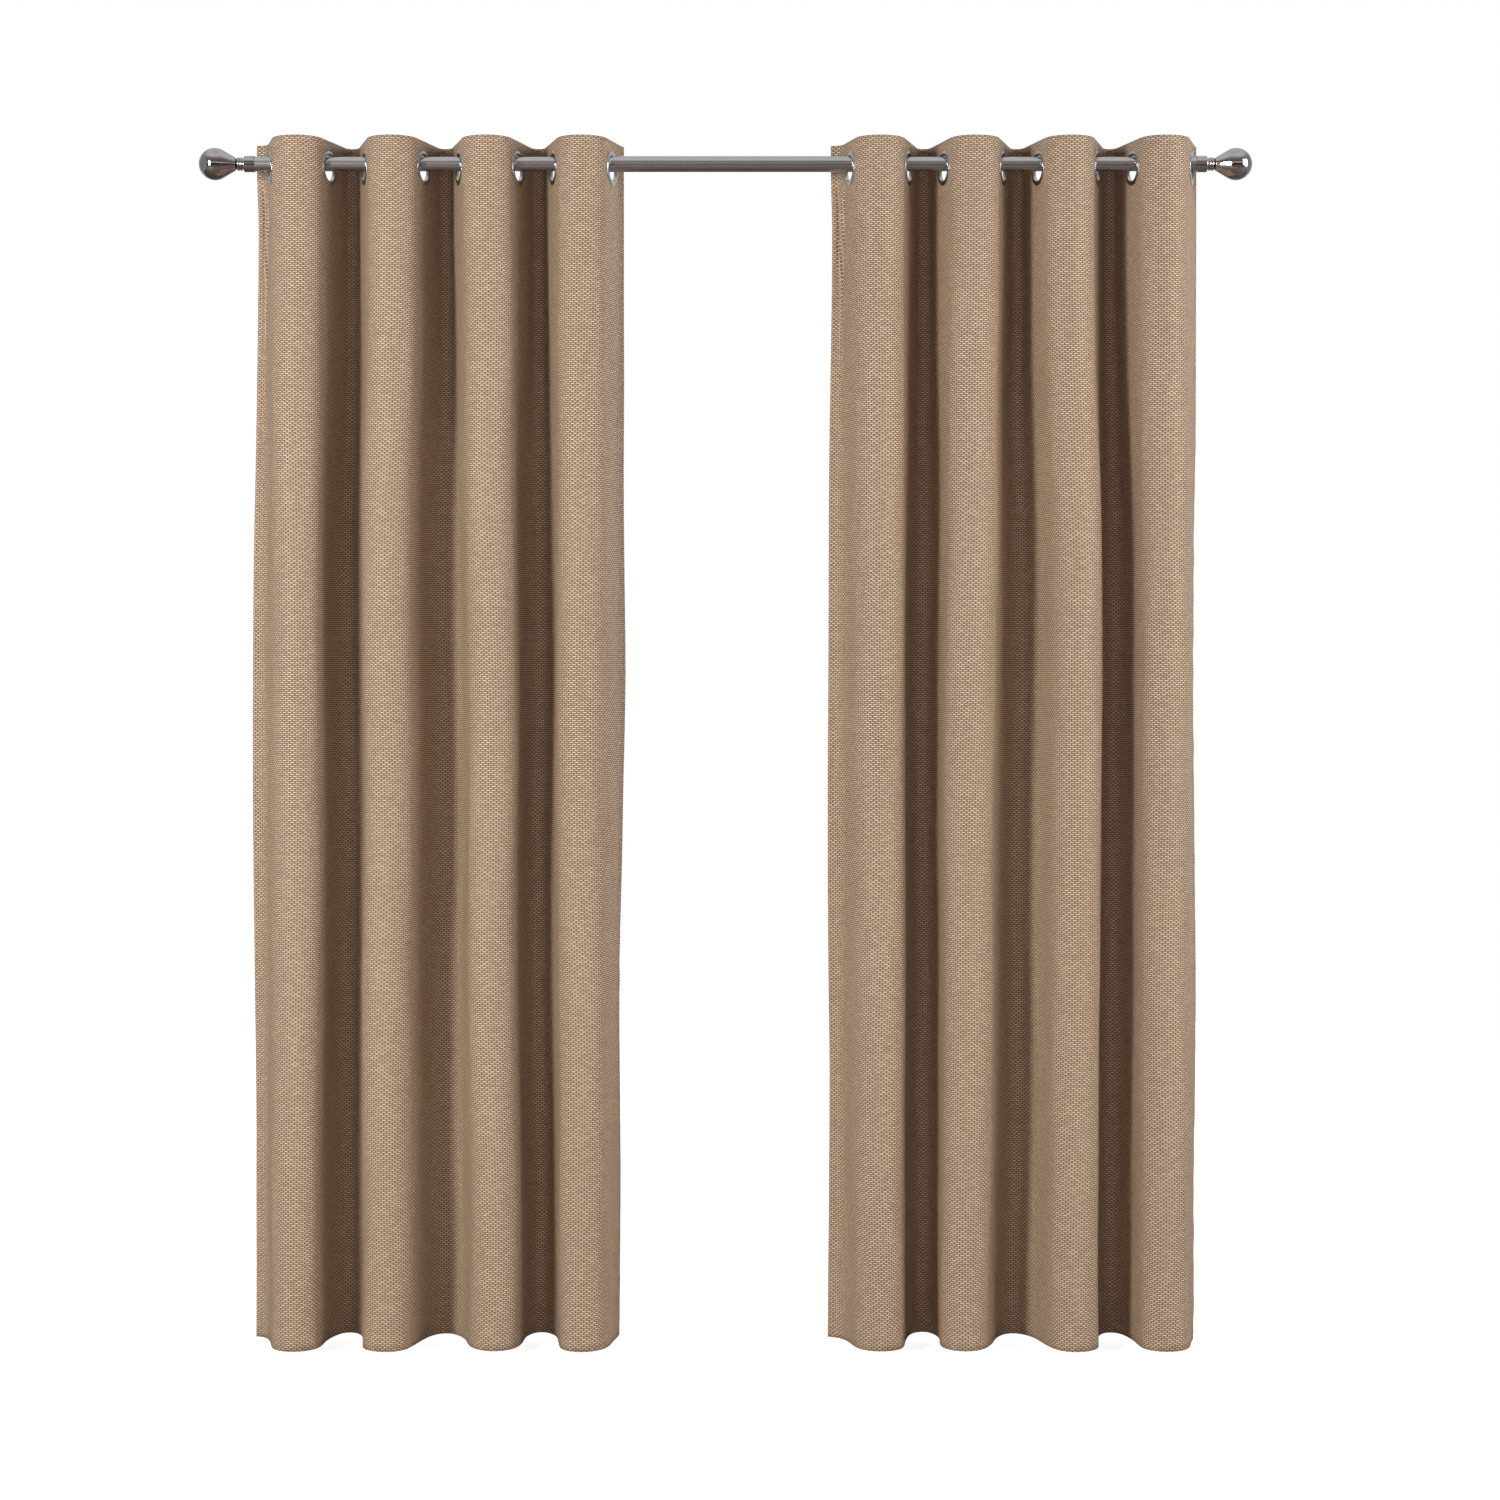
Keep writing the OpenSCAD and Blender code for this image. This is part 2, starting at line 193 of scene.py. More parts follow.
def soft_light(name, place, aim, width, tall, watts, code, mirrored=True):
    """A rectangular studio light at place that faces aim, and is seen in gloss if mirrored."""
    lamp = bpy.data.lights.new(name, "AREA")
    lamp.shape = "RECTANGLE"
    lamp.size = width
    lamp.size_y = tall
    lamp.energy = watts
    lamp.color = paint(code)[:3]
    made = bpy.data.objects.new(name, lamp)
    made.location = place
    made.visible_glossy = mirrored
    made.rotation_euler = (Vector(aim) - Vector(place)).to_track_quat("-Z", "Y").to_euler()
    scene.collection.objects.link(made)


soft_light("key_light", (-3.4, -4.3, -0.1), (0, 0, -0.95), 0.9, 2.4, 258, "#fbf8f6")
soft_light("fill_light", (4.1, -2.5, 0.4), (0, -0.1, -0.9), 1.5, 2.6, 94, "#fbf9f8")
soft_light("back_light", (1.6, 4.4, 0.3), (0, 0, -1.0), 1.6, 2.4, 110, "#f8f4f0", False)
soft_light("front_light", (0, -3.2, -1.9), (0, 0, -1.3), 2.2, 0.5, 16, "#ffe6e4", False)
soft_light("edge_light", (4.6, -1.2, 0.2), (0, -0.1, -0.9), 0.6, 2.8, 80, "#fff9f4")

floor_mesh = bpy.data.meshes.new("floor")
turns = np.linspace(0, 2 * math.pi, FLOOR_SEGMENTS + 1)[:-1]
rim = [(FLOOR_R * math.cos(a), FLOOR_R * math.sin(a), 0) for a in turns]
floor_mesh.from_pydata(rim, [], [list(range(len(rim)))])
floor = bpy.data.objects.new("floor", floor_mesh)
floor.location = (0, 0, cad_low.z - FLOOR_GAP)
scene.collection.objects.link(floor)
# Matt paint that glows for the eye alone, and looks duller where metal mirrors it.
floor_paint, tree, shader = start_material("white_floor_paint")
ray = add_node(tree, "ShaderNodeLightPath")
glow = add_node(
    tree, "ShaderNodeMapRange", {"To Max": FLOOR_SEEN}, {"Value": ray.outputs["Is Camera Ray"]}
)
matt = add_node(tree, "ShaderNodeMix", links={0: ray.outputs["Is Glossy Ray"]}, data_type="RGBA")
matt.inputs[6].default_value = paint("#dddbd8")
matt.inputs[7].default_value = paint("#827873")
tree.links.new(matt.outputs[2], shader.inputs["Base Color"])
shader.inputs["Roughness"].default_value = 0.9
shader.inputs["Emission Color"].default_value = paint(WHITE)
tree.links.new(glow.outputs["Result"], shader.inputs["Emission Strength"])
floor_mesh.materials.append(floor_paint)

# ---------------------------------------------------------------------------------------------
# Pole: three drawn steel tubes with a brushed nickel plate. The middle sleeve is the thicker one,
# and a sliding tube runs into it from each side. Fine scratches lie round the tube.

BRUSH_PITCH = 0.0011  # width of a scratch, drawn coarser than the real tenth of a millimetre
SCRATCH_RUN = 25  # how many times longer a scratch is than it is wide
SCRATCH_DEPTH = 0.00003


def brushed_plate(name, light, dark, rough):
    """Plated steel brushed with a fine belt: slightly uneven gloss in rings round the tube."""
    made, tree, shader = start_material(name)
    at = add_node(tree, "ShaderNodeTexCoord")
    fine, slow = 1 / BRUSH_PITCH, 1 / BRUSH_PITCH / SCRATCH_RUN
    stretched = add_node(
        tree, "ShaderNodeMapping", {"Scale": (fine, slow, slow)},
        {"Vector": at.outputs["Object"]},
    )
    scratch = add_node(
        tree, "ShaderNodeTexNoise", {"Scale": 1.0, "Detail": 3.0}, {"Vector": stretched.outputs[0]}
    )
    tone = add_node(tree, "ShaderNodeValToRGB", links={"Fac": scratch.outputs["Fac"]})
    set_stops(tone, [(0.2, dark), (0.8, light)])
    gloss = add_node(
        tree, "ShaderNodeMapRange", {"To Min": rough - 0.03, "To Max": rough + 0.04},
        {"Value": scratch.outputs["Fac"]},
    )
    bump = add_node(
        tree, "ShaderNodeBump", {"Strength": 0.12, "Distance": SCRATCH_DEPTH},
        {"Height": scratch.outputs["Fac"]},
    )
    shader.inputs["Metallic"].default_value = 1.0
    tree.links.new(tone.outputs["Color"], shader.inputs["Base Color"])
    tree.links.new(gloss.outputs["Result"], shader.inputs["Roughness"])
    tree.links.new(bump.outputs["Normal"], shader.inputs["Normal"])
    return made


def dress(name, material):
    """Gives a CAD node that stays in view its material."""
    mesh = nodes[name].data
    mesh.materials.clear()
    mesh.materials.append(material)


# Brushed nickel: a neutral silver that shows the lights as long soft streaks.
pole_plate = brushed_plate("brushed_nickel_pole", "#c4c4c4", "#b5b5b6", 0.24)
for name in ["pole_sleeve", "pole_tube_left", "pole_tube_right"]:
    dress(name, pole_plate)

# ---------------------------------------------------------------------------------------------
# Wall brackets: a pressed plate, a turned arm with an open cradle, and a scalloped thumb screw,
# all satin nickel plate. The fixing screws are plain zinc-plated steel.

# Satin nickel is warmer and duller than the pole, and zinc plate is a flat neutral grey.
bracket_plate = brushed_plate("satin_nickel_bracket", "#a9a19d", "#8a827f", 0.34)
zinc_plate = brushed_plate("zinc_plated_screw", "#9d9c9c", "#7d7c7c", 0.38)
for side in SIDES:
    for name in ("wall_plate", "bracket_arm", "thumb_screw"):
        dress(f"{name}_{side}", bracket_plate)
    for name in ("arm_screw", "finial_stud", "finial_grub_screw"):
        dress(f"{name}_{side}", zinc_plate)

# ---------------------------------------------------------------------------------------------
# Finials: a spun steel bulb with a polished chrome plate, screwed onto a turned neck that has two
# beads and a collar. The collar slips over the tube and a grub screw under it holds it there.

FINIAL_SEGMENTS = 96
EDGE = 0.0006  # rounding of turned edges


def bmesh_of(mesh):
    """An editable copy of a mesh."""
    made = bmesh.new()
    made.from_mesh(mesh)
    return made


def turned(name, outline, segments, closed):
    """A mesh turned about the X axis from (distance along X, radius) points."""
    count = len(outline)
    turns = np.arange(segments) * 2 * math.pi / segments
    points = [(x, r * math.cos(a), r * math.sin(a)) for a in turns for x, r in outline]
    faces = []
    for i in range(segments):
        here, there = i * count, (i + 1) % segments * count
        last = count if closed else count - 1
        for j in range(last):
            k = (j + 1) % count
            faces.append((here + j, here + k, there + k, there + j))
    made = bpy.data.meshes.new(name)
    made.from_pydata(points, [], faces)
    made.validate()
    merge = bmesh_of(made)
    bmesh.ops.remove_doubles(merge, verts=merge.verts, dist=1e-6)
    bmesh.ops.recalc_face_normals(merge, faces=merge.faces)
    merge.to_mesh(made)
    merge.free()
    made.shade_smooth()
    return made


def arc(middle, radius, start, end, steps):
    """Points round middle from one angle to another, in degrees."""
    turns = [math.radians(start + (end - start) * i / steps) for i in range(steps + 1)]
    return [(middle[0] + radius * math.cos(a), middle[1] + radius * math.sin(a)) for a in turns]


bulb_low, bulb_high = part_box("finial_bulb_right")
neck_low, neck_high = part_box("finial_neck_right")
bulb_r = (bulb_high.z - bulb_low.z) / 2
foot_x = bulb_low.x
tip_x = bulb_high.x
collar_r = (neck_high.z - neck_low.z) / 2
collar_x = neck_low.x
BEAD_R = 0.0021
BEAD_REACH = 0.012  # pole's middle to the top of a bead
NECK_R = 0.010
FOOT_R = 0.0115
COLLAR_LEN = 0.019
SOCKET_LEN = 0.017
STUD_HOLE_R = 0.00405
FOOT_RIM = 0.003  # width of the ring that the bulb's foot rests on
FOOT_LIFT = 0.001  # hollow inside that ring
COVE = 0.0004  # groove between the two beads
SOCKET_GAP = 0.00015
tube_low, tube_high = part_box("pole_tube_right")
tube_r = (tube_high.z - tube_low.z) / 2

# The bulb is a cone from its foot that runs on smoothly into a ball.
ball_x = tip_x - bulb_r
reach = math.hypot(ball_x - foot_x, FOOT_R)
touch = math.degrees(math.acos(bulb_r / reach) + math.atan2(FOOT_R, ball_x - foot_x))
bulb_outline = (
    [(foot_x + FOOT_LIFT, 0.0), (foot_x + FOOT_LIFT, FOOT_R - FOOT_RIM)]
    + arc((foot_x + EDGE, FOOT_R - EDGE), EDGE, 180, 90, 3)
    + arc((ball_x, 0), bulb_r, 180 - touch, 0, 40)
)
bead_gap = (foot_x - collar_x - COLLAR_LEN) / 3
bead_xs = [foot_x - bead_gap, foot_x - 2 * bead_gap]
neck_outline = (
    [(foot_x, STUD_HOLE_R), (foot_x, NECK_R)]
    + arc((bead_xs[0], BEAD_REACH - BEAD_R), BEAD_R, 0, 180, 10)
    + [((bead_xs[0] + bead_xs[1]) / 2, NECK_R - COVE)]
    + arc((bead_xs[1], BEAD_REACH - BEAD_R), BEAD_R, 0, 180, 10)
    + [(collar_x + COLLAR_LEN, NECK_R)]
    + arc((collar_x + COLLAR_LEN - 2 * EDGE, collar_r - 2 * EDGE), 2 * EDGE, 0, 90, 4)
    + arc((collar_x + EDGE, collar_r - EDGE), EDGE, 90, 180, 3)
    + [(collar_x, tube_r + SOCKET_GAP), (collar_x + SOCKET_LEN, tube_r + SOCKET_GAP)]
    + [(collar_x + SOCKET_LEN, STUD_HOLE_R)]
)


HAZE_SPOTS = 90.0  # patches of haze in a metre


def chrome(name):
    """Bright chromium plate on polished steel: a near mirror, with faint polishing haze."""
    made, tree, shader = start_material(name)
    at = add_node(tree, "ShaderNodeTexCoord")
    haze = add_node(
        tree, "ShaderNodeTexNoise", {"Scale": HAZE_SPOTS, "Detail": 4.0}, {"Vector": at.outputs["Object"]}
    )
    tone = add_node(tree, "ShaderNodeValToRGB", links={"Fac": haze.outputs["Fac"]})
    set_stops(tone, [(0.3, "#aeaaa9"), (0.7, "#bab6b4")])
    gloss = add_node(
        tree, "ShaderNodeMapRange", {"To Min": 0.04, "To Max": 0.1}, {"Value": haze.outputs["Fac"]}
    )
    shader.inputs["Metallic"].default_value = 1.0
    tree.links.new(tone.outputs["Color"], shader.inputs["Base Color"])
    tree.links.new(gloss.outputs["Result"], shader.inputs["Roughness"])
    return made


chrome_plate = chrome("polished_chrome_finial")


def place_piece(name, mesh, material, body, replaced, where=None):
    """Puts a mesh in the scene as a piece that rides on a body and stands for CAD nodes."""
    made = bpy.data.objects.new(name, mesh)
    scene.collection.objects.link(made)
    made.matrix_world = where or Matrix.Identity(4)
    if not mesh.materials:
        mesh.materials.append(material)
    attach(made, body)
    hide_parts(*replaced)
    return made


bulb_mesh = turned("finial_bulb", bulb_outline, FINIAL_SEGMENTS, False)
neck_mesh = turned("finial_neck", neck_outline, FINIAL_SEGMENTS, True)
for side, turn in (("left", math.pi), ("right", 0.0)):
    where = Matrix.Translation((0, rod_y, 0)) @ Matrix.Rotation(turn, 4, "Z")
    place_piece(
        f"bulb_{side}", bulb_mesh, chrome_plate, f"{side}_finial_bulb",
        [f"finial_bulb_{side}"], where,
    )
    place_piece(
        f"neck_{side}", neck_mesh, chrome_plate, f"{side}_finial_neck",
        [f"finial_neck_{side}"], where,
    )

# ---------------------------------------------------------------------------------------------
# Eyelets: pressed steel rings with a satin nickel plate, in two halves that close on the cloth.
# The front half has a domed flange and the barrel, and the back half is a flatter washer.

RING_COUNT = 8
RING_SEGMENTS = 72
RING_R = 0.0305
BORE_R = 0.022
BARREL_R = 0.0235
CLOTH_T = 0.0012
BAND_T = 0.0008
FRONT_FLANGE = 0.0024
BACK_FLANGE = 0.002
LIP_R = 0.0024  # rounding from the bore to the crest of the front flange
DOME = 0.0010  # fall of the front flange from its crest to its edge
RIM_EASE = 0.0004
PRESS_GAP = 0.0001

barrel_end = BAND_T + BACK_FLANGE
crest = -(CLOTH_T + FRONT_FLANGE)
crest_r = BORE_R + LIP_R
front_outline = (
    [(barrel_end, BARREL_R), (barrel_end, BORE_R + 0.0002)]
    + [(barrel_end - 0.0003, BORE_R), (0.0, BORE_R)]
    + [(crest + LIP_R * (1 - math.sin(a)), BORE_R + LIP_R * (1 - math.cos(a)))
       for a in np.linspace(0.1, math.pi / 2, 8)]
    + [(crest + DOME * t * t, crest_r + (RING_R - RIM_EASE - crest_r) * t)
       for t in np.linspace(0.15, 1, 8)]
    + [(crest + DOME + RIM_EASE, RING_R), (-CLOTH_T, RING_R - PRESS_GAP), (-CLOTH_T, BARREL_R)]
)
back_outline = [
    (BAND_T, BARREL_R + PRESS_GAP),
    (BAND_T, RING_R - PRESS_GAP),
    (BAND_T + 0.4 * BACK_FLANGE, RING_R),
    (BAND_T + 0.75 * BACK_FLANGE, RING_R - RIM_EASE),
    (barrel_end, RING_R - DOME - RIM_EASE),
    (barrel_end, BARREL_R + 0.0007),
    (barrel_end - 0.0005, BARREL_R + PRESS_GAP),
]


def ring_frame(side, k):
    """Middle of a ring, from the boxes of its two halves."""
    boxes = [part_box(f"{side}_ring_{half}_{k}") for half in ("front", "back")]
    low = Vector(map(min, boxes[0][0], boxes[1][0]))
    high = Vector(map(max, boxes[0][1], boxes[1][1]))
    return (low + high) / 2


# The flat cloth between two rings stands at the flank angle, which follows from the fold's gap.
PANEL_W = 1.372
PANEL_H = 2.134
SIDE_MARGIN = 0.063
BACK_FOLD_R = 0.0136
ring_pitch = (PANEL_W - 2 * SIDE_MARGIN) / (RING_COUNT - 1)
rings = {side: [ring_frame(side, k) for k in range(1, RING_COUNT + 1)] for side in SIDES}
front_gap = rings["left"][1].x - rings["left"][0].x
back_gap = rings["left"][2].x - rings["left"][1].x


def fold_width(angle, radius):
    """Spread from ring to ring of one fold with flanks at an angle and a bend of a radius."""
    return ring_pitch * math.cos(angle) + 2 * radius * (math.sin(angle) - angle * math.cos(angle))


low_angle, high_angle = math.radians(40), math.radians(89)
for _ in range(40):
    flank = (low_angle + high_angle) / 2
    if fold_width(flank, BACK_FOLD_R) > back_gap:
        low_angle = flank
    else:
        high_angle = flank
front_bend = 2 * (math.sin(flank) - flank * math.cos(flank))
front_fold_r = (front_gap - ring_pitch * math.cos(flank)) / front_bend

# Satin nickel on a pressed ring: pale, with a soft light band round the flange.
ring_plate = brushed_plate("satin_nickel_eyelet", "#cfd0d1", "#bfc0c2", 0.24)
front_ring = turned("eyelet_front", front_outline, RING_SEGMENTS, True)
back_ring = turned("eyelet_back", back_outline, RING_SEGMENTS, True)
for side in SIDES:
    for k in range(1, RING_COUNT + 1):
        heading = flank if k % 2 == 0 else -flank
        where = Matrix.Translation(rings[side][k - 1]) @ Matrix.Rotation(heading + math.pi / 2, 4, "Z")
        for half, mesh in (("front", front_ring), ("back", back_ring)):
            place_piece(
                f"{side}_eyelet_{half}_{k}", mesh, ring_plate, f"{side}_ring_{k}",
                [f"{side}_ring_{half}_{k}"], where,
            )

# ---------------------------------------------------------------------------------------------
# Curtains: heavy basket weave polyester, cut 1372 mm wide and 2134 mm long with doubled hems. The
# stiff header holds the waves at the rings, and the cloth below hangs freely into softer folds.

ring_u = [SIDE_MARGIN + ring_pitch * i for i in range(RING_COUNT)]
knots = [0.0] + ring_u + [PANEL_W]
EYELET_DROP = 0.0483  # top edge to the eyelet's middle
HEADER_H = 0.095  # stiff part, where the folds keep the header's shape
EDGE_FLAT = RING_R + 0.002
U_STEP = 0.002
V_STEP = 0.010
table_u = np.linspace(0, PANEL_W, round(PANEL_W / U_STEP) + 1)
table_v = np.linspace(0, PANEL_H, round(PANEL_H / V_STEP) + 1)


def ease(t):
    """0 to 1 with a flat start and end."""
    t = np.clip(t, 0, 1)
    return t * t * (3 - 2 * t)


def drift(rng, reach):
    """A slow wander down the cloth that is zero in the header."""
    total = np.zeros_like(table_v)
    for waves in (0.6, 1.3, 2.4):
        size = rng.normal() / (1 + waves)
        total += size * np.sin(2 * math.pi * (waves * table_v / PANEL_H + rng.random()))
    return reach * total * ease((table_v - HEADER_H) / 0.5)


def fold_profile(s, flat_share):
    """-1 to 1 across a fold whose ends are flat over flat_share of it."""
    return np.clip((s - flat_share) / (1 - 2 * flat_share) * 2 - 1, -1, 1)


# How far each ring line's flank leans towards the hem, against its lean at the rings.
HEM_LEAN = [0.90, 1.02, 1.03, 0.90, 0.92, 1.04, 1.02, 0.92]
LEFT_EDGE_TOP = math.radians(-8)  # heading of the free edge at the header
EDGE_SHARP = 2.6  # how soon the top corner opens past its ring, where 2 is evenly
LEFT_EDGE_LOW = math.radians(-12)
RIGHT_EDGE = math.radians(70)
FREE_RUN = 0.75  # height over which the cloth comes free of the header's shape
LEAN_WANDER = 0.05  # share of its lean by which a ring line's flank wanders
FOLD_WANDER = 0.05  # share of its width by which a fold's middle wanders
EDGE_WANDER = 0.12
SWAY = 0.003
SLACK = 0.55  # how far the hanging folds go from the header's shape to a plain wave
STEADY = 0.6  # how much of each ring line's wander to and from the wall is held back
WALL_GAP = 0.010  # least distance from the folds to the wall
EASE_ROWS = 12  # rows above and below over which a fold is eased off the wall


def fold_headings(rng):
    """The way the cloth runs, seen from above, at every table_v (rows) and table_u: 0 is along X."""
    loose = ease((table_v - HEADER_H) / FREE_RUN)[:, None]
    lean = np.array(HEM_LEAN)[None, :] * loose + (1 - loose)
    ring_heading = np.array([flank if k % 2 else -flank for k in range(RING_COUNT)])[None, :] * lean
    for k in range(RING_COUNT):
        ring_heading[:, k] *= 1 + drift(rng, LEAN_WANDER)
    low = ease((table_v - 0.02) / 0.14)  # 0 in the top corner, 1 just below the eyelets
    left_edge = LEFT_EDGE_TOP + (LEFT_EDGE_LOW - LEFT_EDGE_TOP) * low + drift(rng, EDGE_WANDER)
    right_edge = RIGHT_EDGE + drift(rng, EDGE_WANDER)
    heads = np.concatenate([left_edge[:, None], ring_heading, right_edge[:, None]], axis=1)
    heading = np.zeros((len(table_v), len(table_u)))
    for i in range(len(knots) - 1):
        span = knots[i + 1] - knots[i]
        here = (table_u >= knots[i]) & (table_u <= knots[i + 1])
        s = ((table_u[here] - knots[i]) / span)[None, :]
        if i == 0:
            sharp = (EDGE_SHARP - (EDGE_SHARP - 2) * low)[:, None]
            stiff = np.clip(s / (1 - EDGE_FLAT / SIDE_MARGIN) * sharp - (sharp - 1), -1, 1)
        elif i == len(knots) - 2:
            curl = EDGE_FLAT / SIDE_MARGIN
            stiff = np.clip((s - curl) / (1 - curl) * 2 - 1, -1, 1)
        else:
            s = s + drift(rng, FOLD_WANDER)[:, None] * np.sin(math.pi * s) ** 2
            radius = front_fold_r if i % 2 else BACK_FOLD_R
            flat_share = (ring_pitch / 2 - flank * radius) / ring_pitch
            stiff = fold_profile(s, flat_share)
        soft = -np.cos(math.pi * s)
        shape = stiff + (soft - stiff) * (SLACK * loose)
        a, b = heads[:, i : i + 1], heads[:, i + 1 : i + 2]
        heading[:, here] = (a + b) / 2 + (b - a) / 2 * shape
    return heading


def hang(side, seed):
    """Lays out one panel: x, y and heading of the cloth at every table_v (rows) and table_u."""
    rng = np.random.default_rng(seed)
    heading = fold_headings(rng)
    rows = len(table_v)

    def across(scale):
        """x and y along the cloth when every heading is scaled."""
        angles = heading * scale[:, None]
        steps_x = (np.cos(angles[:, 1:]) + np.cos(angles[:, :-1])) / 2 * U_STEP
        steps_y = (np.sin(angles[:, 1:]) + np.sin(angles[:, :-1])) / 2 * U_STEP
        zero = np.zeros((rows, 1))
        return (
            np.concatenate([zero, np.cumsum(steps_x, 1)], 1),
            np.concatenate([zero, np.cumsum(steps_y, 1)], 1),
            angles,
        )

    def at_rings(values):
        """A table's values on the eight ring lines."""
        return np.array([np.interp(ring_u, table_u, row) for row in values])

    # The headings are scaled row by row until the end ring lines are as far apart as their rings.
    wanted = rings[side][-1].x - rings[side][0].x
    small, large = np.full(rows, 0.6), np.full(rows, 1.4)
    for _ in range(30):
        middle = (small + large) / 2
        x = at_rings(across(middle)[0])
        wide = x[:, -1] - x[:, 0] > wanted
        small = np.where(wide, middle, small)
        large = np.where(wide, large, middle)
    x, y, angles = across((small + large) / 2)
    ring_x, ring_y = at_rings(x), at_rings(y)
    x += (rings[side][0].x - ring_x[:, 0])[:, None]
    # The outer ring lines are brought under the pole, and the others most of the way.
    share = (table_u[None, :] - ring_u[0]) / (ring_u[-1] - ring_u[0])
    tilt = ring_y[:, -1:] - ring_y[:, :1]
    y += rod_y - ring_y[:, :1] - tilt * share
    stray = np.array([np.interp(table_u, ring_u, row) for row in ring_y - ring_y[:, :1]])
    y -= STEADY * (stray - tilt * share) * ((share >= 0) & (share <= 1))
    y += drift(rng, SWAY)[:, None]
    over = np.pad(np.maximum(0, y.max(1) + WALL_GAP), EASE_ROWS, "edge")
    window = np.hanning(2 * EASE_ROWS + 1)
    y -= np.convolve(over, window / window.sum(), "valid")[:, None]
    return x, y, angles


# Creases that the outer ring draws: place in from the side edge, drift of that place, and depth.
CREASES = ((0.034, -0.014, 0.0060), (0.023, -0.009, -0.0034), (0.013, -0.003, 0.0050))
CREASE_W = 0.0032
RIPPLE = 0.0006
HEM_WAVE = 0.0007  # unevenness that the seams pull into the side hems


class Panel:
    """The hung shape of one curtain, read at any flat place (u across, v down) and distance behind."""

    def __init__(self, side, seed):
        self.side = side
        self.x, self.y, self.heading = hang(side, seed)
        self.top = rings[side][0].z + EYELET_DROP
        self.phases = np.random.default_rng(seed + 50).random(6) * 2 * math.pi

    def read(self, values, u, v):
        """Values of the table between its own rows and columns."""
        col = np.clip(np.asarray(u) / PANEL_W * (len(table_u) - 1), 0, len(table_u) - 1 - 1e-9)
        row = np.clip(np.asarray(v) / PANEL_H * (len(table_v) - 1), 0, len(table_v) - 1 - 1e-9)
        i, j = row.astype(int), col.astype(int)
        fi, fj = row - i, col - j
        return (
            values[i, j] * (1 - fi) * (1 - fj)
            + values[i + 1, j] * fi * (1 - fj)
            + values[i, j + 1] * (1 - fi) * fj
            + values[i + 1, j + 1] * fi * fj
        )

    def ripple(self, u, v):
        """Small unevenness of the hanging cloth, and the drawn creases under the outer ring."""
        free = ease((v - HEADER_H) / 0.3)
        p, full = self.phases, 2 * math.pi
        soft = (
            np.sin(full * (u / 0.083 + 0.9 * v) + p[0]) * np.sin(full * v / 0.61 + p[1])
            + 0.6 * np.sin(full * (u / 0.051 - 0.7 * v) + p[2]) * np.sin(full * v / 0.37 + p[3])
        )
        total = RIPPLE * free * soft
        for start, shift, deep in CREASES:
            line = start + shift * ease((v - 0.07) / 0.2)
            along = ease((v - 0.06) / 0.05) * (1 - ease((v - 0.16) / 0.26))
            total += deep * along * np.exp(-(((u - line) / CREASE_W) ** 2))
        drawn_in = np.sin(full * v / 0.067 + p[4]) + 0.7 * np.sin(full * v / 0.109 + p[5])
        beside = np.minimum(u, PANEL_W - u)
        total += HEM_WAVE * free * drawn_in * np.exp(-(((beside - 0.012) / 0.007) ** 2))
        return total

    def place(self, u, v, behind):
        """Points in space, behind metres behind the cloth's back face."""
        u, v = np.asarray(u, float), np.asarray(v, float)
        h = self.read(self.heading, u, v)
        d = behind + self.ripple(u, v)
        x = self.read(self.x, u, v) - d * np.sin(h)
        y = self.read(self.y, u, v) + d * np.cos(h)
        return np.stack([x, y, self.top - v], axis=-1)


# A flat sheet is a grid with a square patch round each eyelet, whose rings close on a round hole.
HOLE_R = BARREL_R + 0.0003
PATCH_HALF = 0.034
PATCH_CELLS = 14
PATCH_RINGS = 3
EDGE_CELLS = 16
FOLD_CELLS = 22


def stretch(start, end, cells):
    """Even stops from start, left out, to end."""
    return list(np.linspace(start, end, cells + 1)[1:])


